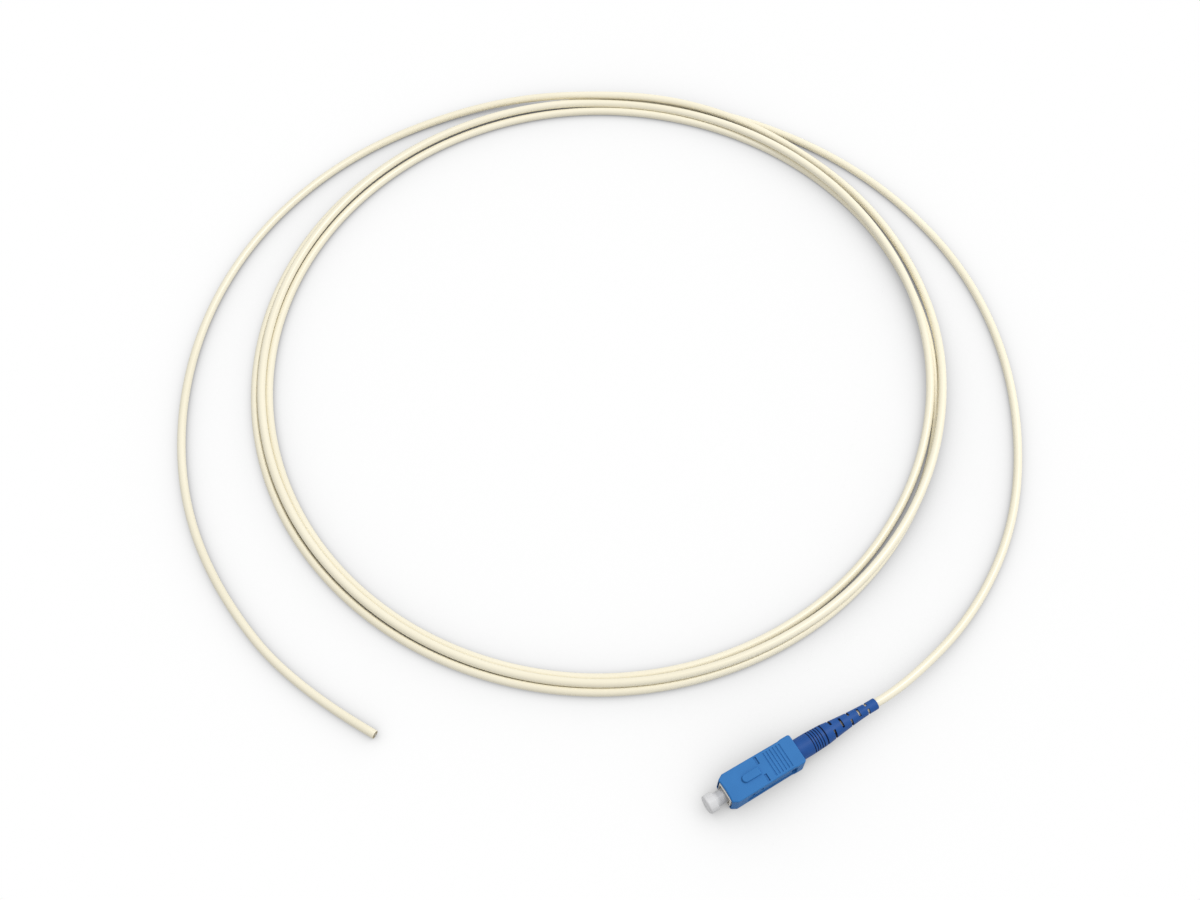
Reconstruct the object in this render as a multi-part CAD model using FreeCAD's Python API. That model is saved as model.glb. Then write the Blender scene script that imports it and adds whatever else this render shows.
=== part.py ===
import FreeCAD, Part
import math
import os

# A fibre optic pigtail: a square push-pull plug with a capped ferrule, a slotted bend relief boot, and
# a coiled cable whose other end is cut bare. Lengths are in millimetres. The plug lies on the floor and
# points along -X. Stations along it count from the outer housing's front face, positive towards the cable.

# Clearances
slide_gap = 0.15        # plastic pieces that slide on each other, each side
lug_gap = 0.15          # beside the frame's lugs
ramp_gap = 0.25         # between the housing's release ramps and the frame's nose
running_gap = 0.1       # round pieces that move in a bore
stop_gap = 0.1          # left between two stops at the end of a travel
seat_gap = 0.05         # faces that bear on each other, and pieces that are pushed over each other
bond_gap = 0.01         # glued or pressed pieces
cap_gap = 0.03          # friction fit of the dust cap on the ferrule
bend_gap = 0.1          # cable in the boot, and over itself
spring_gap = 0.325      # spring in the frame's bore, and on the flange's stem
stem_gap = 0.25         # flange's stem in the rear body
cap_room = 0.25         # dust cap's neck in the frame's bore
fibre_gap = 0.01        # bare fibre in its bores
core_gap = 0.2          # buffer in the cable's jacket

# Travels
grip_push = 1.2
grip_pull = 0.8
ferrule_travel = 1.5

# Outer housing
housing_length = 24.0
housing_width = 9.0
housing_height = 7.4
waist_depth = 0.17
waist_station = 20.0
flare_station = 21.0
nose_chamfer_length = 1.6
nose_chamfer_width = 0.9
nose_dish_depth = 0.22
nose_dish_width = 6.2
housing_edge_round = 0.4
housing_corner_round = 0.3
housing_rear_round = 0.8
housing_wall = 0.85
housing_side_wall = 1.03
collar_wall = 0.35
ramp_height = 3.2
ramp_length = 2.0
ramp_flat = 0.7

# Features on the faces of the outer housing
key_width = 2.3
key_rise = 0.7
key_front = 5.6
key_rear = 11.2
key_edge_round = 0.25
key_root = 0.3
pocket_front = 11.5
pocket_length = 0.9
pocket_inner = 1.6
pocket_outer = 3.9
pocket_depth = 0.45
groove_first = 14.6
groove_pitch = 1.05
groove_count = 6
groove_width = 0.45
groove_reach = 3.6
recess_front = 5.2
recess_rear = 21.3
recess_height = 4.6
recess_depth = 0.4
window_front = 6.7
window_length = 0.9
window_height = 2.6
dimple_front = 9.6
dimple_length = 0.8
dimple_height = 1.6
dimple_depth = 0.65
rear_pocket_front = 19.8
rear_pocket_height = 3.0
rear_pocket_depth = 0.75

# Plug frame
frame_front = -0.1
frame_rear = 20.0
frame_shoulder = 8.0
frame_nose_step = 0.2
frame_nose_chamfer = 0.2
frame_rim = 0.4
frame_mouth_depth = 0.8
frame_bore_d = 4.6
web_front = 7.0
web_gap = 0.15
lug_front = 6.2
lug_rear = 7.7
lug_ramp = 0.7
lug_reach = 0.2
lug_height = 3.0
rib_width = 0.6
rib_rise = 0.45

# Ferrule, its holder, and the fibre in them
ferrule_d = 2.5
ferrule_tip = -0.2
ferrule_length = 10.5
ferrule_chamfer = 0.3
ferrule_funnel_length = 1.0
flange_head_length = 2.6
flange_stem_rear = 15.4
flange_notch_width = 0.8
flange_notch_depth = 0.5
flange_notch_count = 4
fibre_d = 0.125
buffer_d = 0.9
buffer_rear = 36.0

# Spring
spring_wire_d = 0.45
spring_turns = 6

# Rear body with the crimp post
spring_seat = 16.2
shoulder_rise = 0.35
shoulder_length = 1.15
post_d = 3.3
post_rear = 27.0
post_bore_d = 1.6
post_groove_first = 22.2
post_groove_pitch = 0.9
post_groove_count = 5
post_groove_width = 0.4
post_groove_depth = 0.15
barb_front = 17.1
barb_length = 1.4
barb_reach = 0.45
barb_height = 1.6

# Crimp sleeve and strength yarn
crimp_wall = 0.3
crimp_neck_front = 27.6
crimp_neck_length = 1.0
crimp_rear = 31.6
yarn_thickness = 0.3
yarn_fold_length = 0.7
yarn_root_d = 1.9

# Strain relief boot
boot_tip = 51.3
boot_wall_at_tip = 0.3
boot_tip_round = 0.2
collar_rear = 28.3
throat_station = 33.4
throat_d = 6.0
taper_station = 41.0
taper_rise = 0.45
sleeve_station = 47.5
boot_step_length = 0.6
ring_stations = (28.6, 29.4, 30.2, 31.0, 31.8)
ring_width = 0.3
ring_depth = 0.25
neck_ring_station = 33.0
neck_ring_width = 0.45
neck_ring_depth = 0.4
slot_first = 36.0
slot_pitch = 3.0
slot_count = 5
slot_width = 0.7
side_slot_angle = 146.0
top_slot_angle = 84.0

# Dust cap
cap_front = -6.0
cap_head_rear = -3.2
cap_head_rise = 0.7
cap_head_round = 0.6
cap_neck_rear = 5.4
cap_bore_front = -1.2
cap_edge_round = 0.15

# Cable and coil
cable_d = 2.6
jacket_front = 27.9
coil_centre = (20.3, 139.4)
coil_mean_r = 108.6
coil_strands_wide = 3.4
coil_strands_high = 2.1
coil_round = 1.2
cut_depth = 6.0
cut_yarn_thickness = 0.5
cut_fibre_d = 0.25
cut_buffer_proud = 0.1
cut_fibre_proud = 0.3
arc_share = 0.45

# Values worked out from the sizes above
axis_z = housing_height / 2
front_x = -(cap_front + boot_tip) / 2
waist_width = housing_width - 2 * waist_depth
frame_height = housing_height - 2 * (housing_wall + slide_gap)
frame_width = waist_width - 2 * (housing_side_wall + slide_gap)
frame_nose_width = frame_width - 2 * frame_nose_step
lug_width = frame_width + 2 * lug_reach
cavity_height = frame_height + 2 * slide_gap
cavity_width = frame_width + 2 * slide_gap
hook_cavity_width = lug_width + 2 * lug_gap
hook_cavity_rear = lug_rear + grip_push + stop_gap
ramp_rear = lug_front - grip_pull - stop_gap
ramp_width = frame_nose_width + 2 * ramp_gap
collar_d = housing_height - 2 * (collar_wall + slide_gap)
collar_bore_front = frame_rear + grip_push + 4 * stop_gap
collar_front = collar_bore_front + grip_pull + 3 * stop_gap
flange_head_d = frame_bore_d - 2 * running_gap
flange_front = frame_shoulder + seat_gap
flange_rear = flange_front + flange_head_length
flange_bore_d = buffer_d + 2 * seat_gap
ferrule_rear = ferrule_tip + ferrule_length
fibre_bore_d = fibre_d + 2 * fibre_gap
spring_d = frame_bore_d - 2 * spring_gap
flange_stem_d = spring_d - 2 * (spring_wire_d + spring_gap)
stem_recess_d = flange_stem_d + 2 * stem_gap
stem_recess_rear = flange_stem_rear + ferrule_travel + 5 * stop_gap
buffer_front = ferrule_rear + running_gap
shoulder_d = frame_bore_d + 2 * shoulder_rise
shoulder_front = frame_rear + seat_gap
shoulder_rear = shoulder_front + shoulder_length
yarn_front = shoulder_rear + 2 * seat_gap
yarn_bore_d = post_d + 2 * bond_gap
yarn_d = yarn_bore_d + 2 * yarn_thickness
yarn_rear = jacket_front - seat_gap
yarn_fold = yarn_rear - yarn_fold_length
crimp_bore_d = yarn_d + 2 * bond_gap
crimp_d = crimp_bore_d + 2 * crimp_wall
crimp_neck_rear = crimp_neck_front + crimp_neck_length
crimp_grip_d = cable_d + 2 * bond_gap
crimp_tail_d = crimp_grip_d + 2 * crimp_wall
boot_crimp_d = crimp_d + 2 * seat_gap
boot_grip_d = crimp_tail_d + 2 * seat_gap
boot_bore_d = cable_d + 2 * bend_gap
boot_tip_d = boot_bore_d + 2 * boot_wall_at_tip
taper_d = boot_tip_d + 2 * taper_rise
cap_neck_d = frame_bore_d - 2 * cap_room
cap_head_d = cap_neck_d + 2 * cap_head_rise
core_d = buffer_d + 2 * core_gap
core_rear = buffer_rear + ferrule_travel + 5 * stop_gap
cut_core_d = buffer_d + 2 * cut_yarn_thickness
floor_z = cable_d / 2
crossing_z = floor_z + cable_d + bend_gap

# Route of the cable from the plug to the coil, and from the coil to the cut end
lead_route = [
    (front_x + jacket_front, 0, axis_z),
    (22.0, 0, axis_z),
    (40.0, 0.15, axis_z - 0.1),
    (70.0, 7.5, floor_z),
    (98.0, 24.0, floor_z),
    (120.0, 48.5, floor_z),
    (136.0, 77.5, floor_z),
    (144.0, 109.5, floor_z),
    (142.5, 142.5, floor_z),
    (133.5, 172.5, floor_z),
    (116.5, 201.0, floor_z),
    (95.0, 222.5, floor_z),
]
tail_route = [
    (82.0, 232.0, crossing_z),
    (51.8, 250.0, crossing_z - 1.8),
    (17.0, 257.5, floor_z),
    (-18.0, 256.0, floor_z),
    (-52.0, 244.0, floor_z),
    (-80.5, 223.0, floor_z),
    (-102.0, 195.0, floor_z),
    (-115.5, 162.0, floor_z),
    (-118.5, 128.0, floor_z),
    (-112.0, 90.5, floor_z),
    (-97.8, 65.4, floor_z),
]


def at(station, across, height):
    # A point from its station, its distance across the plug and its height above the plug's axis.
    return FreeCAD.Vector(front_x + station, across, axis_z + height)


def turned(outline):
    # A solid of revolution about the plug's axis from a closed outline of (station, radius) points.
    corners = [at(station, 0, radius) for station, radius in outline]
    face = Part.Face(Part.makePolygon(corners + corners[:1]))
    return face.revolve(at(0, 0, 0), FreeCAD.Vector(1, 0, 0), 360)


def rod(front, rear, diameter):
    # A round bar along the plug's axis.
    return Part.makeCylinder(diameter / 2, rear - front, at(front, 0, 0), FreeCAD.Vector(1, 0, 0))


def block(front, rear, width, height):
    # A bar of rectangular section, centred on the plug's axis.
    return Part.makeBox(rear - front, width, height, at(front, -width / 2, -height / 2))


def prism(outline, low, high):
    # An upright prism between two heights above the axis, from a plan outline of (station, across) points.
    corners = [at(station, across, low) for station, across in outline]
    face = Part.Face(Part.makePolygon(corners + corners[:1]))
    return face.extrude(FreeCAD.Vector(0, 0, high - low))


def mirrored(shape):
    # The shape and its mirror image on the other side of the plug.
    return [shape, shape.mirror(at(0, 0, 0), FreeCAD.Vector(0, 1, 0))]


def rims(shape, station, diameter):
    # The circular edges of one diameter at one station.
    return [
        edge
        for edge in shape.Edges
        if isinstance(edge.Curve, Part.Circle)
        and abs(edge.Curve.Center.x - front_x - station) < 0.001
        and abs(edge.Curve.Radius - diameter / 2) < 0.001
    ]


def upright_edges(shape, front, rear):
    # The upright edges between two stations.
    return [
        edge
        for edge in shape.Edges
        if abs(edge.tangentAt(edge.FirstParameter).z) > 0.99
        and front < edge.CenterOfMass.x - front_x < rear
    ]


def housing_shell():
    # Plan outline with a chamfered nose, a slim waist and a flared rear, rounded along all its edges.
    half = housing_width / 2
    side = [
        (0, half - nose_chamfer_width),
        (nose_chamfer_length, half),
        (waist_station, waist_width / 2),
        (flare_station, half),
        (housing_length, half),
    ]
    outline = side + [(station, -across) for station, across in reversed(side)]
    shell = prism(outline, -axis_z, axis_z)
    rear_band = (flare_station + housing_length) / 2
    shell = shell.makeFillet(housing_corner_round, upright_edges(shell, -housing_length, rear_band))
    shell = shell.makeFillet(housing_rear_round, upright_edges(shell, rear_band, 2 * housing_length))
    dish_r = (nose_dish_width ** 2 / 4 + nose_dish_depth ** 2) / (2 * nose_dish_depth)
    dish = Part.makeCylinder(dish_r, housing_height, at(nose_dish_depth - dish_r, 0, -axis_z))
    shell = shell.cut(dish)
    flat = [
        edge
        for edge in shell.Edges
        if abs(edge.Vertexes[0].Z - edge.Vertexes[-1].Z) < 0.001
        and abs(abs(edge.CenterOfMass.z - axis_z) - axis_z) < 0.001
    ]
    return shell.makeFillet(housing_edge_round, flat)


def housing_key():
    # The raised key: a bar with a half-round nose.
    nose = key_front + key_width / 2
    low = axis_z - key_root
    high = axis_z + key_rise
    half = key_width / 2
    bar = prism([(nose, -half), (key_rear, -half), (key_rear, half), (nose, half)], low, high)
    tip = Part.makeCylinder(half, high - low, at(nose, 0, low))
    key = bar.fuse(tip).removeSplitter()
    top = max(key.Faces, key=lambda face: face.CenterOfMass.z)
    return key.makeFillet(key_edge_round, top.Edges)


def housing_cuts():
    # The cavity that the frame slides in, and everything cut into the outside.
    cuts = [
        block(-housing_length, hook_cavity_rear, hook_cavity_width, cavity_height),
        block(0, collar_bore_front, cavity_width, cavity_height),
        rod(collar_bore_front, 2 * housing_length, collar_d + 2 * slide_gap),
    ]
    pocket_width = pocket_outer - pocket_inner
    pocket_corner = at(pocket_front, pocket_inner, axis_z - pocket_depth)
    cuts += mirrored(Part.makeBox(pocket_length, pocket_width, housing_height, pocket_corner))
    for index in range(groove_count):
        station = groove_first + index * groove_pitch
        for face_height in (-axis_z, axis_z):
            start = at(station, -groove_reach, face_height)
            along = FreeCAD.Vector(0, 1, 0)
            cuts.append(Part.makeCylinder(groove_width / 2, 2 * groove_reach, start, along))
    side_cuts = [
        (recess_front, recess_rear, recess_depth, recess_height),
        (window_front, window_front + window_length, housing_width / 2, window_height),
        (dimple_front, dimple_front + dimple_length, dimple_depth, dimple_height),
        (rear_pocket_front, recess_rear, rear_pocket_depth, rear_pocket_height),
    ]
    for front, rear, depth, height in side_cuts:
        corner = at(front, housing_width / 2 - depth, -height / 2)
        cuts += mirrored(Part.makeBox(rear - front, housing_width, height, corner))
    return cuts


def outer_housing():
    shell = housing_shell().fuse(housing_key())
    for cut in housing_cuts():
        shell = shell.cut(cut)
    wall = (hook_cavity_width + waist_width) / 4
    ramp = [
        (ramp_rear - ramp_length, wall),
        (ramp_rear - ramp_flat, ramp_width / 2),
        (ramp_rear, ramp_width / 2),
        (ramp_rear, wall),
    ]
    for side in mirrored(prism(ramp, -ramp_height / 2, ramp_height / 2)):
        shell = shell.fuse(side)
    return shell.removeSplitter()


def plug_frame():
    nose = block(frame_front, frame_shoulder, frame_nose_width, frame_height)
    front_face = min(nose.Faces, key=lambda face: face.CenterOfMass.x)
    nose = nose.makeChamfer(frame_nose_chamfer, front_face.Edges)
    frame = nose.fuse(block(frame_shoulder, frame_rear, frame_width, frame_height))
    lug = [
        (lug_front, 0),
        (lug_front, frame_nose_width / 2),
        (lug_front + lug_ramp, lug_width / 2),
        (lug_rear, lug_width / 2),
        (lug_rear, 0),
    ]
    for side in mirrored(prism(lug, -lug_height / 2, lug_height / 2)):
        frame = frame.fuse(side)
    mouth_width = frame_nose_width - 2 * frame_rim
    mouth_height = frame_height - 2 * frame_rim
    frame = frame.cut(block(frame_front, frame_front + frame_mouth_depth, mouth_width, mouth_height))
    frame = frame.cut(rod(frame_front, web_front, frame_bore_d))
    frame = frame.cut(rod(frame_front, frame_rear, ferrule_d + 2 * web_gap))
    frame = frame.cut(rod(frame_shoulder, frame_rear, frame_bore_d))
    barb_window_front = barb_front - 2 * seat_gap
    barb_window_rear = barb_front + barb_length + 2 * seat_gap
    barb_window_height = barb_height + 4 * seat_gap
    frame = frame.cut(block(barb_window_front, barb_window_rear, frame_width, barb_window_height))
    rib_low = frame_bore_d / 2 - rib_rise
    for turn in (0, 180):
        corner = at(frame_shoulder, -rib_width / 2, rib_low)
        rib = Part.makeBox(flange_rear - frame_shoulder, rib_width, frame_height / 2 - rib_low, corner)
        rib.rotate(at(0, 0, 0), FreeCAD.Vector(1, 0, 0), turn)
        frame = frame.fuse(rib)
    return frame.removeSplitter()


def ferrule():
    radius = ferrule_d / 2
    bore = fibre_bore_d / 2
    return turned([
        (ferrule_tip, bore),
        (ferrule_tip, radius - ferrule_chamfer),
        (ferrule_tip + ferrule_chamfer, radius),
        (ferrule_rear, radius),
        (ferrule_rear, buffer_d / 2),
        (ferrule_rear - ferrule_funnel_length, bore),
    ])


def ferrule_flange():
    pocket = ferrule_d / 2 + bond_gap
    flange = turned([
        (flange_front, pocket),
        (flange_front, flange_head_d / 2),
        (flange_rear, flange_head_d / 2),
        (flange_rear, flange_stem_d / 2),
        (flange_stem_rear, flange_stem_d / 2),
        (flange_stem_rear, flange_bore_d / 2),
        (ferrule_rear + bond_gap, flange_bore_d / 2),
        (ferrule_rear + bond_gap, pocket),
    ])
    for index in range(flange_notch_count):
        low = flange_head_d / 2 - flange_notch_depth
        corner = at(flange_front, -flange_notch_width / 2, low)
        notch = Part.makeBox(flange_head_length, flange_notch_width, flange_head_d, corner)
        notch.rotate(at(0, 0, 0), FreeCAD.Vector(1, 0, 0), index * 360 / flange_notch_count)
        flange = flange.cut(notch)
    return flange


def ferrule_spring():
    # A round wire wound from the flange's head to the rear body.
    front = flange_rear + seat_gap + spring_wire_d / 2
    rear = spring_seat - seat_gap - spring_wire_d / 2
    mean_r = (spring_d - spring_wire_d) / 2
    helix = Part.makeHelix((rear - front) / spring_turns, rear - front, mean_r)
    start = helix.Edges[0]
    tangent = start.tangentAt(start.FirstParameter)
    section = Part.makeCircle(spring_wire_d / 2, FreeCAD.Vector(mean_r, 0, 0), tangent)
    spring = Part.Wire(helix.Edges).makePipeShell([Part.Wire(section)], True, True)
    spring.rotate(FreeCAD.Vector(0, 0, 0), FreeCAD.Vector(0, 1, 0), 90)
    spring.translate(at(front, 0, 0))
    return spring


def rear_body():
    nose_d = frame_bore_d - 2 * seat_gap
    outline = [
        (spring_seat, stem_recess_d / 2),
        (spring_seat, nose_d / 2),
        (shoulder_front, nose_d / 2),
        (shoulder_front, shoulder_d / 2),
        (shoulder_rear, shoulder_d / 2),
        (shoulder_rear, post_d / 2),
    ]
    for index in range(post_groove_count):
        station = post_groove_first + index * post_groove_pitch
        outline += [
            (station - post_groove_width / 2, post_d / 2),
            (station, post_d / 2 - post_groove_depth),
            (station + post_groove_width / 2, post_d / 2),
        ]
    outline += [
        (post_rear, post_d / 2),
        (post_rear, post_bore_d / 2),
        (stem_recess_rear, post_bore_d / 2),
        (stem_recess_rear, stem_recess_d / 2),
    ]
    body = turned(outline)
    barb_width = frame_bore_d + 2 * barb_reach
    barbs = block(barb_front, barb_front + barb_length, barb_width, barb_height)
    barbs = barbs.cut(rod(barb_front, barb_front + barb_length, (nose_d + stem_recess_d) / 2))
    return body.fuse(barbs).removeSplitter()


def aramid_yarn():
    # A sleeve over the crimp post that closes down to the cable behind it.
    root = yarn_root_d / 2
    return turned([
        (yarn_front, yarn_bore_d / 2),
        (yarn_front, yarn_d / 2),
        (yarn_fold, yarn_d / 2),
        (yarn_rear, root + yarn_thickness),
        (yarn_rear, root),
        (yarn_fold, yarn_bore_d / 2),
    ])


def crimp_sleeve():
    return turned([
        (yarn_front, crimp_bore_d / 2),
        (yarn_front, crimp_d / 2),
        (crimp_neck_front, crimp_d / 2),
        (crimp_neck_rear, crimp_tail_d / 2),
        (crimp_rear, crimp_tail_d / 2),
        (crimp_rear, crimp_grip_d / 2),
        (crimp_neck_rear, crimp_grip_d / 2),
        (crimp_neck_front, crimp_bore_d / 2),
    ])


def boot_blank():
    # Collar, throat, a taper that flattens out, and a thin sleeve at the tip, bored for crimp and cable.
    lines = [
        (collar_front, boot_crimp_d / 2),
        (collar_front, collar_d / 2),
        (collar_rear, collar_d / 2),
        (throat_station, throat_d / 2),
    ]
    rest = [
        (sleeve_station, boot_tip_d / 2),
        (boot_tip, boot_tip_d / 2),
        (boot_tip, boot_bore_d / 2),
        (crimp_rear + 2 * boot_step_length, boot_bore_d / 2),
        (crimp_rear + boot_step_length, boot_grip_d / 2),
        (crimp_neck_rear + seat_gap, boot_grip_d / 2),
        (crimp_neck_front + seat_gap, boot_crimp_d / 2),
        (collar_front, boot_crimp_d / 2),
    ]
    taper = Part.Arc(
        at(throat_station, 0, throat_d / 2),
        at(taper_station, 0, taper_d / 2),
        at(sleeve_station, 0, boot_tip_d / 2),
    )
    front_wire = Part.makePolygon([at(station, 0, radius) for station, radius in lines])
    rear_wire = Part.makePolygon([at(station, 0, radius) for station, radius in rest])
    edges = front_wire.Edges + [taper.toShape()] + rear_wire.Edges
    blank = Part.Face(Part.Wire(edges)).revolve(at(0, 0, 0), FreeCAD.Vector(1, 0, 0), 360)
    return blank.makeFillet(boot_tip_round, rims(blank, boot_tip, boot_tip_d))


def boot_sector(station, angle, turn):
    # Two opposite wedges that open one slot through the boot's wall.
    reach = collar_d
    spread = reach * math.tan(math.radians(angle / 2))
    front = station - slot_width / 2
    corners = [at(front, 0, 0), at(front, reach, spread), at(front, reach, -spread)]
    face = Part.Face(Part.makePolygon(corners + corners[:1]))
    wedge = face.extrude(FreeCAD.Vector(slot_width, 0, 0))
    wedge.rotate(at(0, 0, 0), FreeCAD.Vector(1, 0, 0), turn)
    opposite = wedge.copy()
    opposite.rotate(at(0, 0, 0), FreeCAD.Vector(1, 0, 0), 180)
    return [wedge, opposite]


def strain_boot():
    boot = boot_blank()
    rings = [(station, ring_width, ring_depth) for station in ring_stations]
    rings.append((neck_ring_station, neck_ring_width, neck_ring_depth))
    fall = (collar_d - throat_d) / (throat_station - collar_rear)
    for station, width, depth in rings:
        floor_d = collar_d - fall * (station - collar_rear) - 2 * depth
        ring = rod(station - width / 2, station + width / 2, 2 * collar_d)
        boot = boot.cut(ring.cut(rod(station - width, station + width, floor_d)))
    for index in range(slot_count):
        angle, turn = ((side_slot_angle, 0), (top_slot_angle, 90))[index % 2]
        for wedge in boot_sector(slot_first + index * slot_pitch, angle, turn):
            boot = boot.cut(wedge)
    return boot


def dust_cap():
    bore = ferrule_d / 2 + cap_gap
    cap = turned([
        (cap_front, 0),
        (cap_front, cap_head_d / 2),
        (cap_head_rear, cap_head_d / 2),
        (cap_head_rear, cap_neck_d / 2),
        (cap_neck_rear, cap_neck_d / 2),
        (cap_neck_rear, bore),
        (cap_bore_front, bore),
        (cap_bore_front - bore, 0),
    ])
    cap = cap.makeFillet(cap_head_round, rims(cap, cap_front, cap_head_d))
    cap = cap.makeFillet(cap_edge_round, rims(cap, cap_head_rear, cap_head_d))
    return cap.makeFillet(cap_edge_round, rims(cap, cap_neck_rear, cap_neck_d))


def glass_fibre():
    return rod(ferrule_tip, buffer_rear, fibre_d)


def tight_buffer():
    return rod(buffer_front, buffer_rear, buffer_d).cut(rod(buffer_front, buffer_rear, fibre_bore_d))


def cord_tube(name, route):
    # A round tube along straight runs joined by tangent arcs, each arc as large as its two runs allow.
    points = [FreeCAD.Vector(*point) for point in route]
    edges = []
    radii = []
    start = points[0]
    for before, corner, after in zip(points, points[1:], points[2:]):
        back = before - corner
        ahead = after - corner
        reach = arc_share * min(back.Length, ahead.Length)
        back.normalize()
        ahead.normalize()
        half_turn = (math.pi - back.getAngle(ahead)) / 2
        radius = reach / math.tan(half_turn)
        inward = (back + ahead).normalize()
        first = corner + back * reach
        middle = corner + inward * (radius / math.cos(half_turn) - radius)
        last = corner + ahead * reach
        edges.append(Part.LineSegment(start, first).toShape())
        edges.append(Part.Arc(first, middle, last).toShape())
        radii.append(round(radius, 1))
        start = last
    edges.append(Part.LineSegment(start, points[-1]).toShape())
    path = Part.Wire(edges)
    section = Part.Wire(Part.makeCircle(cable_d / 2, points[0], points[1] - points[0]))
    tube = path.makePipeShell([section], True, True)
    expected = math.pi * cable_d ** 2 / 4 * path.Length
    print(name, "radii", radii, "length", round(path.Length, 1), "volume", tube.Volume / expected)
    return tube


def cable_lead():
    core = rod(jacket_front - seat_gap, core_rear, core_d)
    return cord_tube("cable_lead", lead_route).cut(core)


def cable_coil():
    # The outer shape of all the turns together: a flat ring with rounded edges.
    width = coil_strands_wide * cable_d
    height = coil_strands_high * cable_d
    base = FreeCAD.Vector(*coil_centre, 0)
    ring = Part.makeCylinder(coil_mean_r + width / 2, height, base)
    ring = ring.cut(Part.makeCylinder(coil_mean_r - width / 2, height, base))
    return ring.makeFillet(coil_round, [edge for edge in ring.Edges if isinstance(edge.Curve, Part.Circle)])


def cut_rod(diameter, proud):
    # A round bar in the cut end of the cable, standing proud of the cut.
    tip = FreeCAD.Vector(*tail_route[-1])
    out = (tip - FreeCAD.Vector(*tail_route[-2])).normalize()
    return Part.makeCylinder(diameter / 2, cut_depth + proud, tip - out * cut_depth, out)


def cable_tail():
    return cord_tube("cable_tail", tail_route).cut(cut_rod(cut_core_d, seat_gap))


def tail_yarn():
    ring = cut_rod(cut_core_d - 2 * bond_gap, 0)
    return ring.cut(cut_rod(buffer_d + 2 * bond_gap, seat_gap))


def tail_buffer():
    return cut_rod(buffer_d, cut_buffer_proud).cut(cut_rod(cut_fibre_d + 2 * bond_gap, cut_fibre_proud))


def tail_fibre():
    return cut_rod(cut_fibre_d, cut_fibre_proud)


pieces = [
    outer_housing,
    plug_frame,
    ferrule,
    ferrule_flange,
    ferrule_spring,
    rear_body,
    crimp_sleeve,
    aramid_yarn,
    strain_boot,
    dust_cap,
    glass_fibre,
    tight_buffer,
    cable_lead,
    cable_coil,
    cable_tail,
    tail_yarn,
    tail_buffer,
    tail_fibre,
]

os.makedirs("parts", exist_ok=True)
for piece in pieces:
    shape = piece()
    print(piece.__name__, len(shape.Solids), shape.isValid(), round(shape.Volume, 3))
    shape.exportStep("parts/" + piece.__name__ + ".step")
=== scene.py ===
import bpy
import math
import numpy as np
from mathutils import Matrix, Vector


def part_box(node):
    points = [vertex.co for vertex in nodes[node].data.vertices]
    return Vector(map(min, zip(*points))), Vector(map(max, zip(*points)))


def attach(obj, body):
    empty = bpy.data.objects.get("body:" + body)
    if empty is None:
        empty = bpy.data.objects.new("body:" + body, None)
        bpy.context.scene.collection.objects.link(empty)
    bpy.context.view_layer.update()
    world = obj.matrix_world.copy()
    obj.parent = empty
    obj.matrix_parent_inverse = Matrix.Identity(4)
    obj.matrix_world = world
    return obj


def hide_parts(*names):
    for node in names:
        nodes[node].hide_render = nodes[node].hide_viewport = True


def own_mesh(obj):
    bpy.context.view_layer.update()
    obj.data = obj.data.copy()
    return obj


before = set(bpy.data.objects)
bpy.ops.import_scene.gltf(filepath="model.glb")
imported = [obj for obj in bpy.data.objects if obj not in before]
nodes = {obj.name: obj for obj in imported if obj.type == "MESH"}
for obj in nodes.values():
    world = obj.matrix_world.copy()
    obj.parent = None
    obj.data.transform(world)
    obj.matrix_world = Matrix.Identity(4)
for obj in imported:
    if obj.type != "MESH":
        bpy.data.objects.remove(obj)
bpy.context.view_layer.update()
scene = bpy.context.scene
print("frame:", len(nodes), "pieces from the packed model")

fullTurn = 360.0                # degrees
perMetre = 1000                 # millimetres
midSpan = (0.35, 0.65)          # spans of a noise's values over which a finish changes
wideSpan = (0.3, 0.7)
fineDetail = 2.0                # for a noise too small to show more


# Shader maths: a socket that can be added, scaled and compared as a number
class Socket:
    def __init__(self, finish, plug):
        self.finish = finish
        self.plug = plug

    def maths(self, operation, first, second):
        return self.finish.node("ShaderNodeMath", {"operation": operation}, {0: first, 1: second})

    def __add__(self, other):
        return self.maths("ADD", self, other)

    def __sub__(self, other):
        return self.maths("SUBTRACT", self, other)

    def __rsub__(self, other):
        return self.maths("SUBTRACT", other, self)

    def __mul__(self, other):
        return self.maths("MULTIPLY", self, other)

    def __pow__(self, other):
        return self.maths("POWER", self, other)

    def __abs__(self):
        return self.maths("ABSOLUTE", self, 0.0)

    def largest(self, other):
        return self.maths("MAXIMUM", self, other)

    __radd__ = __add__
    __rmul__ = __mul__


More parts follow.
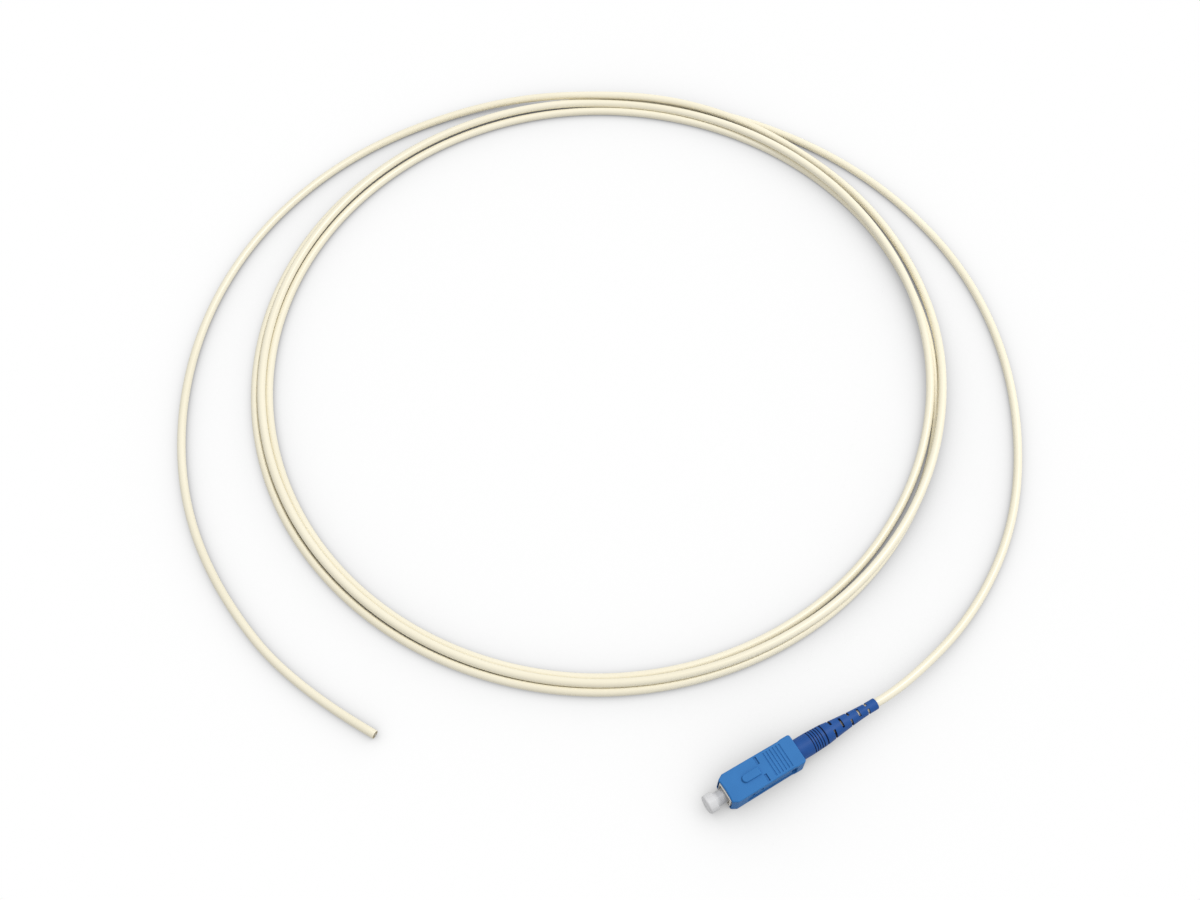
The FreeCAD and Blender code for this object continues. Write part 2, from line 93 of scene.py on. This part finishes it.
# A material's or the world's nodes: one shader, what feeds it, and the output that shows it
class Finish:
    def __init__(self, owner, constants, shader="ShaderNodeBsdfPrincipled",
                 output="ShaderNodeOutputMaterial"):
        owner.use_nodes = True
        self.owner = owner
        self.tree = owner.node_tree
        self.tree.nodes.clear()
        self.surface = self.node(shader, links=constants)
        self.output = self.node(output, links={"Surface": self.surface}, out=None)

    # any node: its type, its settings, then the values or links of its sockets
    def node(self, kind, settings=None, links=None, out=0):
        made = self.tree.nodes.new(kind)
        for key, value in (settings or {}).items():
            setattr(made, key, value)
        self.connect(made, links or {})
        return Socket(self, made.outputs[out]) if out is not None else made

    def connect(self, made, links):
        for key, value in links.items():
            if isinstance(value, Socket):
                self.tree.links.new(value.plug, made.inputs[key])
            else:
                made.inputs[key].default_value = value

    def feed(self, links):
        self.connect(self.surface.plug.node, links)

    # 1 where the camera looks, directly, in a mirror or through glass
    def seen(self):
        path = self.node("ShaderNodeLightPath", out=None)
        direct, mirrored, through = [
            Socket(self, path.outputs[f"Is {kind} Ray"]) for kind in ("Camera", "Glossy", "Transmission")]
        return direct.largest(mirrored).largest(through)

    # a vector stretched by a scale for each axis and turned about Z, in radians
    def stretch(self, vector, scale, turn=0.0):
        links = {"Vector": vector, "Rotation": (0.0, 0.0, turn), "Scale": scale}
        return self.node("ShaderNodeMapping", links=links)

    # object coordinates in metres, stretched and turned in the same way
    def place(self, scale=(1.0, 1.0, 1.0), turn=0.0):
        return self.stretch(self.node("ShaderNodeTexCoord", out="Object"), scale, turn)

    def axes(self, vector):
        made = self.node("ShaderNodeSeparateXYZ", links={0: vector}, out=None)
        return [Socket(self, plug) for plug in made.outputs]

    def noise(self, vector, scale=1.0, detail=3.0, rough=0.5):
        return self.node("ShaderNodeTexNoise", links={
            "Vector": vector, "Scale": scale, "Detail": detail, "Roughness": rough})

    # a straight ramp of a value between two limits, held at both ends
    def ramp(self, value, low, high, start=0.0, end=1.0):
        return self.node("ShaderNodeMapRange", {"clamp": True}, {
            "Value": value, "From Min": low, "From Max": high, "To Min": start, "To Max": end})

    def mean(self, first, second):
        return (first + second) * 0.5

    # the colour sockets of a Mix node are its inputs 6 and 7 and its output 2
    def blend(self, factor, first, second):
        tones = [tone if isinstance(tone, Socket) else (*tone, 1.0) for tone in (first, second)]
        links = {0: factor, 6: tones[0], 7: tones[1]}
        return self.node("ShaderNodeMix", {"data_type": "RGBA"}, links, out=2)

    # a look's tone, which turns into its paler one as a noise grows
    def mottle(self, noise, values, span=midSpan):
        return self.blend(self.ramp(noise, *span), values["tone"], values["pale"])

    # a look's roughness, which grows with a noise
    def rough(self, noise, values, span=midSpan):
        return self.ramp(noise, *span, *values["rough"])

    def bump(self, height, depth):
        return self.node("ShaderNodeBump", links={"Height": height, "Distance": depth})


def addObject(name, data):
    made = bpy.data.objects.new(name, data)
    scene.collection.objects.link(made)
    return made


# Puts a camera or a lamp, which looks along its own -Z, at a place, and turns it to a direction
def aim(made, place, gaze):
    made.location = place
    made.rotation_mode = "QUATERNION"
    made.rotation_quaternion = gaze.to_track_quat("-Z", "Y")


# How far along a line each of its points lies: the sum of the steps before it
def wayAlong(line):
    steps = np.linalg.norm(np.diff(line, axis=0), axis=1)
    return np.concatenate([[0.0], np.cumsum(steps)])


# Camera, at the photograph's place above and in front of the plug
camera = {
    "place": (-0.108915, -0.077896, 0.4076),
    "target": (0.004196, 0.112324, 0.0),
    "lens": 44.34,
    "sensor": 36.0,
    "nearest": 0.01,            # what is closer is left out
}


def makeCamera():
    data = bpy.data.cameras.new("photoCamera")
    data.lens = camera["lens"]
    data.sensor_width = camera["sensor"]
    data.sensor_fit = "HORIZONTAL"
    data.clip_start = camera["nearest"]
    scene.camera = addObject("photoCamera", data)
    aim(scene.camera, camera["place"], Vector(camera["target"]) - Vector(camera["place"]))
    print("camera: set")


makeCamera()


# Cable: its route out of the plug, three turns, and its way to the cut end, in metres
cable = {
    "diameter": 0.0026,
    "length": 2.73,
    "exit": (0.02865, 0.0, 0.0037),
    "lead": [
        (0.00525, 0.0, 0.0037), (0.022, 0.0, 0.0037), (0.040, 0.00015, 0.0036), (0.070, 0.0075, 0.0013),
        (0.098, 0.024, 0.0013), (0.120, 0.0485, 0.0013), (0.136, 0.0775, 0.0013), (0.144, 0.1095, 0.0013),
        (0.1425, 0.1425, 0.0013), (0.1335, 0.1725, 0.0013), (0.1165, 0.201, 0.0013), (0.095, 0.2225, 0.0013),
    ],
    "leadOnRing": 4,            # the lead's last points, which lie on the coil's ring
    "tail": [
        (0.082, 0.232, 0.0040), (0.0518, 0.250, 0.0022), (0.017, 0.2575, 0.0013), (-0.018, 0.256, 0.0013),
        (-0.052, 0.244, 0.0013), (-0.0805, 0.223, 0.0013), (-0.102, 0.195, 0.0013), (-0.1155, 0.162, 0.0013),
        (-0.1185, 0.128, 0.0013), (-0.112, 0.0905, 0.0013), (-0.0978, 0.0654, 0.0013),
    ],
    "coilCentre": (0.0203, 0.1394),
    "coilTurns": 3,
    "coilPoints": 90,           # 30 for each turn
    "coilAngles": (60.0, 1124.0),
    # how far out the cable lies, in millimetres, at angles along its three turns
    "lay": [
        (60, 109.9), (72, 109.6), (106, 109.75), (179, 111.3), (209, 111.5), (239, 111.4), (269, 110.8),
        (304, 109.4), (329, 107.7), (344, 107.0), (374, 106.4), (404, 105.5), (466, 105.6), (554, 107.0),
        (599, 107.1), (659, 105.6), (719, 106.2), (749, 107.2), (790, 108.0), (826, 108.0), (914, 108.9),
        (1004, 109.6), (1039, 109.4), (1079, 111.2), (1094, 111.4), (1124, 110.9),
    ],
    "sagRate": 1.28,            # a raised stretch comes down by this times the square of the distance
    "sagReach": 3,              # points to each side that a raised point still holds up
    "order": 3,                 # of the smooth line through the route
    "smoothness": 12,           # points on the line for each point of the route
    "sides": 28,
    "wallAtCut": 0.00095,       # radius of the jacket's inside at the cut end
    "cutDepth": 0.006,
    "wallAtPlug": 0.00065,      # radius of the bore that takes the buffer
    "plugDepth": 0.0101,
    "edgeRound": 0.00006,
    "edgeBend": 0.3,            # share of the round at which the edge's profile has a point
}


# The coil's points. A turn lies on the floor, or on the back of an earlier turn that is less than a
# diameter away across the ring: then its height above that turn is the root of the diameter squared less
# the distance across squared. A stretch between two supports comes down along a parabola, not at once.
def coilPoints(lead, top):
    thick = cable["diameter"]
    start, end = cable["coilAngles"]
    step = (end - start) / (cable["coilPoints"] - 1)
    inside = math.cos(math.radians(step / 2))           # the line passes inside its points by this ratio
    angle = np.linspace(start, end, cable["coilPoints"])
    stations = np.array(cable["lay"])
    radius = np.interp(angle, stations[:, 0], stations[:, 1]) / perMetre
    centre = np.array(cable["coilCentre"])
    spoke = np.array(lead)[-cable["leadOnRing"]:, :2] - centre
    angle = np.concatenate([np.degrees(np.arctan2(spoke[:, 1], spoke[:, 0])), angle])
    radius = np.concatenate([np.hypot(spoke[:, 0], spoke[:, 1]) * inside, radius])
    height = np.full(len(angle), thick / 2)
    stride = math.radians(step) * radius.mean()
    for lap in range(cable["coilTurns"]):
        now = (angle >= start + fullTurn * lap) & (angle < start + fullTurn * (lap + 1))
        for back in range(1, lap + 2):
            under = angle[now] - fullTurn * back
            apart = np.abs(radius[now] - np.interp(under, angle, radius))
            rise = np.sqrt(np.maximum(thick ** 2 - apart ** 2, 0.0))
            held = (apart < thick) & (under >= angle[0])
            resting = np.maximum(height[now], np.interp(under, angle, height) + rise)
            height[now] = np.where(held, resting, height[now])
        reach = height.copy()
        for beside in range(1, cable["sagReach"] + 1):
            fall = cable["sagRate"] * (stride * beside) ** 2
            near = np.pad(height, beside, mode="edge") - fall
            reach = np.maximum(reach, np.maximum(near[2 * beside:], near[:-2 * beside]))
        height = np.where(now, reach, height)
    height[-1] = top                                    # the hump over the lead has two points at its top
    turn = np.radians(angle)
    away = radius / inside
    ring = np.stack([centre[0] + away * np.cos(turn), centre[1] + away * np.sin(turn), height], 1)
    return ring[len(spoke):]


# The smooth line through the route: a NURBS curve with the route's points as control points
def cableLine():
    points = np.vstack([cable["lead"], coilPoints(cable["lead"], cable["tail"][0][2]), cable["tail"]])
    data = bpy.data.curves.new("cableLine", "CURVE")
    data.dimensions = "3D"
    spline = data.splines.new("NURBS")
    spline.points.add(len(points) - 1)
    spline.points.foreach_set("co", np.column_stack([points, np.ones(len(points))]).ravel())
    spline.order_u = cable["order"]
    spline.use_endpoint_u = True
    spline.resolution_u = cable["smoothness"]
    holder = bpy.data.objects.new("cableLine", data)
    mesh = bpy.data.meshes.new_from_object(holder)
    line = np.empty(len(mesh.vertices) * 3)
    mesh.vertices.foreach_get("co", line)
    bpy.data.objects.remove(holder)
    bpy.data.curves.remove(data)
    bpy.data.meshes.remove(mesh)
    return line.reshape(-1, 3)


# A closed surface from a profile carried along a line: at each of the profile's stations, a ring of its
# radius stands across the line. The first and last radius are nought, so both ends close in a point.
def sweptSkin(name, line, station, radius, sides, upright=(0.0, 0.0, 1.0)):
    run = wayAlong(line)
    along = np.gradient(line, run, axis=0)
    middle = np.stack([np.interp(station, run, line[:, axis]) for axis in range(3)], 1)
    ahead = np.stack([np.interp(station, run, along[:, axis]) for axis in range(3)], 1)
    across = np.cross(ahead, upright)
    across /= np.linalg.norm(across, axis=1)[:, None]
    lift = np.cross(across, ahead)
    lift /= np.linalg.norm(lift, axis=1)[:, None]
    turn = np.arange(sides) * 2 * np.pi / sides
    circle = across[:, None] * np.cos(turn)[None, :, None] + lift[:, None] * np.sin(turn)[None, :, None]
    rings = middle[:, None] + circle * radius[:, None, None]
    count = len(station)
    first, last = sides * (count - 2), sides * (count - 2) + 1      # the points that close the two ends
    corners = np.vstack([rings[1:-1].reshape(-1, 3), middle[[0, -1]]])
    row, side = np.meshgrid(np.arange(count - 3), np.arange(sides), indexing="ij")
    beside = (side + 1) % sides
    quads = np.stack([row * sides + side, (row + 1) * sides + side,
                      (row + 1) * sides + beside, row * sides + beside], -1).reshape(-1, 4)
    edge = np.arange(sides)
    nextEdge = (edge + 1) % sides
    final = (count - 3) * sides
    caps = np.vstack([np.stack([np.full(sides, first), edge, nextEdge], 1),
                      np.stack([np.full(sides, last), final + nextEdge, final + edge], 1)])
    mesh = bpy.data.meshes.new(name)
    mesh.from_pydata(corners.tolist(), [], quads.tolist() + caps.tolist())
    mesh.shade_smooth()
    # where each point is on the cord: across it, as a point of a disc of radius 1, and along it in metres
    spot = np.zeros((len(corners), 3))
    share = radius[1:-1] / radius.max()
    spot[:first, 0] = np.outer(share, np.cos(turn)).ravel()
    spot[:first, 1] = np.outer(share, np.sin(turn)).ravel()
    spot[:first, 2] = np.repeat(station[1:-1], sides)
    spot[first:, 2] = station[[0, -1]]
    mesh.attributes.new("cordPlace", "FLOAT_VECTOR", "POINT").data.foreach_set("vector", spot.ravel())
    return addObject(name, mesh)


# The cable's profile runs out of the bore at the plug, along the jacket and into the cut end
def makeCable():
    line = cableLine()
    run = wayAlong(line)
    whole, soft, outer = run[-1], cable["edgeRound"], cable["diameter"] / 2
    bend = cable["edgeBend"] * soft
    jacket = run[(run > 2 * soft) & (run < whole - 2 * soft)]
    front = [(cable["plugDepth"], 0.0), (cable["plugDepth"], cable["wallAtPlug"]), (0.0, cable["wallAtPlug"]),
             (0.0, outer - soft), (soft, outer)]
    skin = np.column_stack([jacket, np.full(len(jacket), outer)])
    rear = [(whole - soft, outer), (whole - bend, outer - bend), (whole, outer - soft),
            (whole, cable["wallAtCut"]), (whole - cable["cutDepth"], cable["wallAtCut"]),
            (whole - cable["cutDepth"], 0.0)]
    station, radius = np.vstack([front, skin, rear]).T
    made = sweptSkin("cable", line, station, radius, cable["sides"])
    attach(made, "plug_body")
    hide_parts("cable_lead", "cable_coil", "cable_tail")
    print("cable:", round(whole, 3), "m,", len(made.data.polygons), "faces")
    return made


cablePiece = makeCable()


# Ferrule spring. In the plug it is pressed together towards the rear body as the ferrule is pushed back; here
# it is built once, in the length of its packed piece
spring = {
    "wire": 0.00045,
    "turns": 6,
    "stations": 36,             # rings along the wire for each turn
    "sides": 14,
    "stroke": 0.0015,           # how far the ferrule is pushed back
}


# The spring's line is a helix: the way along the plug's axis grows evenly with the angle round it
def makeSpring():
    low, high = [np.array(corner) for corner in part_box("ferrule_spring")]
    middle = (low + high) / 2
    half = spring["wire"] / 2
    wide = (high[1] - low[1]) / 2 - half
    share = np.linspace(0.0, 1.0, spring["turns"] * spring["stations"] + 1)
    turn = 2 * np.pi * spring["turns"] * share
    along = low[0] + half + share * (high[0] - low[0] - spring["wire"])
    line = np.stack([along, middle[1] + wide * np.sin(turn), middle[2] - wide * np.cos(turn)], 1)
    run = wayAlong(line)
    station = np.concatenate([run[:1], run, run[-1:]])
    radius = np.concatenate([[0.0], np.full(len(run), half), [0.0]])
    made = sweptSkin("ferruleSpring", line, station, radius, spring["sides"], (1.0, 0.0, 0.0))
    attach(made, "plug_body")
    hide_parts("ferrule_spring")
    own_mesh(made)
    print("spring:", spring["turns"], "turns,", len(made.data.polygons), "faces")
    return made


springPiece = makeSpring()


# Finishes: each has a tone and a paler one, a range of roughness and, in metres, the depth of its grain
def newMaterial(name):
    return bpy.data.materials.new(name)


jacketLook = {
    "tone": (0.835, 0.780, 0.615),
    "pale": (0.862, 0.810, 0.650),
    "cut": (0.36, 0.30, 0.19),          # painted shade on the sawn face and the inside of the jacket
    "rim": (0.94, 0.9),                 # share of the radius at which the cut face starts
    "cutRough": 0.3,                    # added to the roughness there
    "bootShade": (0.50, 0.46, 0.36),         # painted shade on the cable inside the boot, seen through the slots
    "bootEnd": 0.0232,                  # how far along the cable the boot reaches
    "bootFade": 0.0002,
    "drawn": (7.0, 7.0, 9.0),           # scales across and along the cable: marks of drawing, and clouds
    "cloud": (0.5, 0.5, 26.0),
    "index": 1.48,
    "rough": (0.27, 0.36),
    "grain": 0.0000015,
}


def jacketFinish():
    values = jacketLook
    look = Finish(newMaterial("jacketIvory"), {"IOR": values["index"]})
    place = look.node("ShaderNodeAttribute", {"attribute_name": "cordPlace"}, out="Vector")
    drawn = look.noise(look.stretch(place, values["drawn"]))
    cloud = look.noise(look.stretch(place, values["cloud"]), detail=fineDetail)
    across, lift, along = look.axes(place)
    # painted shade on the cut face and in the bore, where a point lies inside the rim
    inside = look.ramp((across * across + lift * lift) ** 0.5, *values["rim"])
    # painted shade: the cable is darker where the boot covers it
    covered = look.ramp(along, values["bootEnd"], values["bootEnd"] - values["bootFade"])
    skin = look.blend(covered, look.mottle(cloud, values), values["bootShade"])
    look.feed({
        "Base Color": look.blend(inside, skin, values["cut"]),
        "Roughness": look.rough(drawn, values, wideSpan) + inside * values["cutRough"],
        "Normal": look.bump(drawn, values["grain"]),
    })
    return look.owner


housingLook = {
    "tone": (0.031, 0.163, 0.428),
    "pale": (0.037, 0.178, 0.457),
    "paleEdge": (0.06, 0.25, 0.56),       # paler and less rough along the edges where the sides meet the top
    "paleEdgeShare": 0.5,
    "paleEdgeShine": 0.08,                # taken from the roughness there
    "edgeSide": (0.0042, 0.0045),       # where such an edge lies, to the side and upwards
    "edgeHeight": (0.0070, 0.0074),
    "jointHeight": 0.0037,              # the mould's halves meet half way up the sides
    "jointWidth": 0.00004,
    "jointSide": (0.0044, 0.00445),     # only the outermost walls show the joint
    "jointRise": 2.0,                   # in depths of the grain
    "cloudScale": 150.0,
    "grainScale": 6500.0,
    "index": 1.5,
    "gloss": 0.15,
    "rough": (0.5, 0.62),
    "grain": 0.000005,
}


def housingFinish():
    values = housingLook
    look = Finish(newMaterial("housingBlue"), {"IOR": values["index"], "Specular IOR Level": values["gloss"]})
    place = look.place()
    across, lift = look.axes(place)[1:]
    cloud = look.noise(place, values["cloudScale"])
    grain = look.noise(place, values["grainScale"], fineDetail)
    # paler colour and lower roughness along the edges where the sides meet the top
    paleEdge = look.ramp(abs(across), *values["edgeSide"]) * look.ramp(lift, *values["edgeHeight"])
    joint = look.ramp(abs(lift - values["jointHeight"]), values["jointWidth"], 0.0)
    joint = joint * look.ramp(abs(across), *values["jointSide"])
    look.feed({
        "Base Color": look.blend(paleEdge * values["paleEdgeShare"], look.mottle(cloud, values), values["paleEdge"]),
        "Roughness": look.rough(look.mean(cloud, grain), values) - paleEdge * values["paleEdgeShine"],
        "Normal": look.bump(grain + joint * values["jointRise"], values["grain"]),
    })
    return look.owner


bootLook = {
    "tone": (0.0092, 0.0680, 0.268),
    "pale": (0.0131, 0.0800, 0.298),
    "grooveShade": (0.003, 0.018, 0.080),      # painted shade in the grooves and slots
    "grooveShadeFrom": (0.00010, 0.00022),     # how far below the outline they start
    "axis": 0.0037,                     # height of the plug's axis
    # place along the axis, outer radius
    "outline": [(0.00565, 0.0032), (0.01075, 0.0030), (0.01835, 0.00215), (0.02485, 0.0017)],
    "cloudScale": 240.0,
    "grainScale": 5200.0,
    "index": 1.5,
    "gloss": 0.25,
    "rough": (0.5, 0.6),
    "grain": 0.000005,
}


def bootFinish():
    values = bootLook
    look = Finish(newMaterial("bootBlue"), {"IOR": values["index"], "Specular IOR Level": values["gloss"]})
    place = look.place()
    along, across, lift = look.axes(place)
    cloud = look.noise(place, values["cloudScale"])
    grain = look.noise(place, values["grainScale"], fineDetail)
    # how far a point lies below the boot's outline, which falls in three straight steps
    marks = values["outline"]
    fall = [look.ramp(along, a[0], b[0], 0.0, a[1] - b[1]) for a, b in zip(marks, marks[1:])]
    drop = lift - values["axis"]
    depth = marks[0][1] - (fall[0] + fall[1] + fall[2]) - (across * across + drop * drop) ** 0.5
    # painted shade: darker where a point lies deeper below the outline, in the grooves and slots
    grooveShade = look.ramp(depth, *values["grooveShadeFrom"])
    look.feed({
        "Base Color": look.blend(grooveShade, look.mottle(cloud, values), values["grooveShade"]),
        "Roughness": look.rough(look.mean(cloud, grain), values),
        "Normal": look.bump(grain, values["grain"]),
    })
    return look.owner


capLook = {
    "tone": (0.60, 0.602, 0.61),
    "pale": (0.66, 0.662, 0.67),
    "thin": (0.43, 0.435, 0.45),        # painted shade on the neck, which lies in the housing's shadow over the dark bore
    "headLength": (0.0031, 0.0039),     # from the front to where the neck starts to show, and shows fully
    "flow": (120.0, 500.0, 500.0),
    "grainScale": 5000.0,
    "index": 1.45,
    "rough": (0.34, 0.42),
    "grain": 0.000001,
}


def capFinish():
    values = capLook
    look = Finish(newMaterial("capClear"), {"IOR": values["index"]})
    place = look.place()
    along = look.axes(place)[0]
    flow = look.noise(look.place(values["flow"]), detail=fineDetail)
    grain = look.noise(place, values["grainScale"], fineDetail)
    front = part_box("dust_cap")[0][0]
    # painted shade: the neck is darker than the head
    neck = look.ramp(along, *[front + length for length in values["headLength"]])
    look.feed({
        "Base Color": look.blend(neck, look.mottle(flow, values, wideSpan), values["thin"]),
        "Roughness": look.rough(flow, values),
        "Normal": look.bump(grain, values["grain"]),
    })
    return look.owner


plainLooks = {
    "frameWhite": {
        "tone": (0.78, 0.75, 0.68), "pale": (0.85, 0.82, 0.75), "rough": (0.4, 0.52), "index": 1.5},
    "ferruleCeramic": {
        "tone": (0.86, 0.85, 0.82), "pale": (0.91, 0.90, 0.87), "rough": (0.1, 0.2), "index": 1.9},
    "bufferWhite": {
        "tone": (0.80, 0.80, 0.78), "pale": (0.87, 0.87, 0.85), "rough": (0.38, 0.5), "index": 1.5},
    # painted shade: the buffer at the cut end is darker, as the cut face lies in shade
    "bufferCutShade": {
        "tone": (0.42, 0.40, 0.34), "pale": (0.52, 0.50, 0.43), "rough": (0.5, 0.6), "index": 1.5},
}
plainGrain = {"cloudScale": 300.0, "scale": 6500.0, "depth": 0.000003}


def plainFinish(name):
    values = plainLooks[name]
    look = Finish(newMaterial(name), {"IOR": values["index"]})
    place = look.place()
    cloud = look.noise(place, plainGrain["cloudScale"])
    grain = look.noise(place, plainGrain["scale"], fineDetail)
    look.feed({
        "Base Color": look.mottle(cloud, values),
        "Roughness": look.rough(look.mean(cloud, grain), values),
        "Normal": look.bump(grain, plainGrain["depth"]),
    })
    return look.owner


metalLooks = {
    "platedMetal": {
        "tone": (0.58, 0.57, 0.54), "pale": (0.68, 0.67, 0.64), "rough": (0.2, 0.34), "lines": 9000.0},
    "springSteel": {
        "tone": (0.46, 0.46, 0.47), "pale": (0.60, 0.60, 0.61), "rough": (0.22, 0.38), "lines": 12000.0},
    "crimpMetal": {
        "tone": (0.66, 0.66, 0.67), "pale": (0.77, 0.77, 0.78), "rough": (0.28, 0.42), "lines": 7000.0},
}
metalGrain = {"cloudScale": 700.0, "round": 60.0, "depth": 0.000003}


# Fine lines round the axis, as a lathe or a die leaves them
def metalFinish(name):
    values = metalLooks[name]
    look = Finish(newMaterial(name), {"Metallic": 1.0})
    lines = (values["lines"], metalGrain["round"], metalGrain["round"])
    turned = look.noise(look.place(lines), detail=fineDetail)
    cloud = look.noise(look.place(), metalGrain["cloudScale"])
    look.feed({
        "Base Color": look.mottle(cloud, values),
        "Roughness": look.rough(turned, values, wideSpan),
        "Normal": look.bump(turned, metalGrain["depth"]),
    })
    return look.owner


# The yarn at the cut end is darker, as painted shade on the cut face. Filaments run along the plug's axis, or
# along the cable there.
yarnLooks = {
    "yarnYellow": {
        "tone": (0.62, 0.42, 0.09), "pale": (0.86, 0.68, 0.24), "rough": (0.45, 0.62), "turn": 0.0},
    # painted shade on the yarn at the cut end
    "yarnYellowCutShade": {
        "tone": (0.22, 0.17, 0.08), "pale": (0.34, 0.27, 0.13), "rough": (0.6, 0.75), "turn": 1.0559},
}
yarnGrain = {
    "strands": (260.0, 9000.0, 9000.0),
    "detail": 4.0,
    "uneven": 0.65,
    "depth": 0.00003,
    "sheen": 0.3,
    "sheenRough": 0.4,
}


def yarnFinish(name):
    values = yarnLooks[name]
    look = Finish(newMaterial(name), {
        "Sheen Weight": yarnGrain["sheen"], "Sheen Roughness": yarnGrain["sheenRough"]})
    place = look.place(yarnGrain["strands"], values["turn"])
    strands = look.noise(place, detail=yarnGrain["detail"], rough=yarnGrain["uneven"])
    look.feed({
        "Base Color": look.mottle(strands, values),
        "Roughness": look.rough(strands, values, wideSpan),
        "Normal": look.bump(strands, yarnGrain["depth"]),
    })
    return look.owner


glassLook = {
    "tone": (0.88, 0.91, 0.92),
    "pale": (0.94, 0.96, 0.96),
    "cloudScale": 900.0,
    "index": 1.46,
    "clear": 0.85,
    "rough": (0.03, 0.08),
}


def glassFinish():
    values = glassLook
    look = Finish(newMaterial("fibreGlass"), {"IOR": values["index"], "Transmission Weight": values["clear"]})
    cloud = look.noise(look.place(), values["cloudScale"], fineDetail)
    look.feed({
        "Base Color": look.blend(cloud, values["tone"], values["pale"]),
        "Roughness": look.rough(cloud, values, wideSpan),
    })
    return look.owner


def dress(piece, material):
    piece.data.materials.clear()
    piece.data.materials.append(material)


def dressAll():
    plated, glass = metalFinish("platedMetal"), glassFinish()
    dress(cablePiece, jacketFinish())
    dress(springPiece, metalFinish("springSteel"))
    for name, material in {
        "outer_housing": housingFinish(),
        "strain_boot": bootFinish(),
        "dust_cap": capFinish(),
        "plug_frame": plainFinish("frameWhite"),
        "ferrule": plainFinish("ferruleCeramic"),
        "ferrule_flange": plated,
        "rear_body": plated,
        "crimp_sleeve": metalFinish("crimpMetal"),
        "aramid_yarn": yarnFinish("yarnYellow"),
        "tail_yarn": yarnFinish("yarnYellowCutShade"),
        "tight_buffer": plainFinish("bufferWhite"),
        "tail_buffer": plainFinish("bufferCutShade"),
        "glass_fibre": glass,
        "tail_fibre": glass,
    }.items():
        dress(nodes[name], material)
    print("finishes: set on the cable and the plug")


dressAll()


# Floor and light: a white floor under an even pale sky, and one soft lamp high up on the right
studio = {
    "floorSize": 4.0,
    "floorDrop": 0.00003,
    "floorTone": (0.55, 0.55, 0.55),    # what the floor sends back to the object
    "shadowReach": 0.25,        # how far round itself a point of the floor looks for what shades it
    "shadowSamples": 16,
    "shadowPower": 0.76,        # below 1 the shadow is paler
    "skyTone": (1.0, 1.0, 1.0),
    "sky": 0.70,                # the strength with which it lights, while the camera sees it white
    "lampAim": (0.02, 0.13, 0.0),
    "lampDistance": 1.1,
    "lampRound": 350.0,         # direction of the lamp round the object, and above the floor, in degrees
    "lampAbove": 62.0,
    "lampSize": 0.36,
    "lampPower": 6.2,
}


# The camera sees the floor white, and darker where more of the sky over it is hidden
def makeFloor():
    half = studio["floorSize"] / 2
    grid = np.array([(-half, -half), (half, -half), (half, half), (-half, half)])
    corners = np.column_stack([grid, np.full(len(grid), -studio["floorDrop"])])
    mesh = bpy.data.meshes.new("floor")
    mesh.from_pydata(corners.tolist(), [], [(0, 1, 2, 3)])
    made = addObject("floor", mesh)
    look = Finish(newMaterial("floorWhite"), {"Color": (*studio["floorTone"], 1.0)}, "ShaderNodeBsdfDiffuse")
    reach = {"Distance": studio["shadowReach"]}
    bare = look.node("ShaderNodeAmbientOcclusion", {"samples": studio["shadowSamples"]}, reach, out="AO")
    white = look.node("ShaderNodeEmission", links={"Color": bare ** studio["shadowPower"], "Strength": 1.0})
    mixed = look.node("ShaderNodeMixShader", links={0: look.seen(), 1: look.surface, 2: white})
    look.connect(look.output, {"Surface": mixed})
    dress(made, look.owner)


def makeLight():
    scene.world = bpy.data.worlds.new("paleSky")
    tone = {"Color": (*studio["skyTone"], 1.0)}
    sky = Finish(scene.world, tone, "ShaderNodeBackground", "ShaderNodeOutputWorld")
    sky.feed({"Strength": sky.ramp(sky.seen(), 0.0, 1.0, studio["sky"], 1.0)})
    lamp = bpy.data.lights.new("softLamp", "AREA")
    lamp.shape = "DISK"
    lamp.size = studio["lampSize"]
    lamp.energy = studio["lampPower"]
    turn, rise = math.radians(studio["lampRound"]), math.radians(studio["lampAbove"])
    away = Vector((math.cos(turn) * math.cos(rise), math.sin(turn) * math.cos(rise), math.sin(rise)))
    aim(addObject("softLamp", lamp), Vector(studio["lampAim"]) + studio["lampDistance"] * away, -away)


makeFloor()
makeLight()
scene.view_settings.view_transform = "Standard"
print("studio: floor and light set")
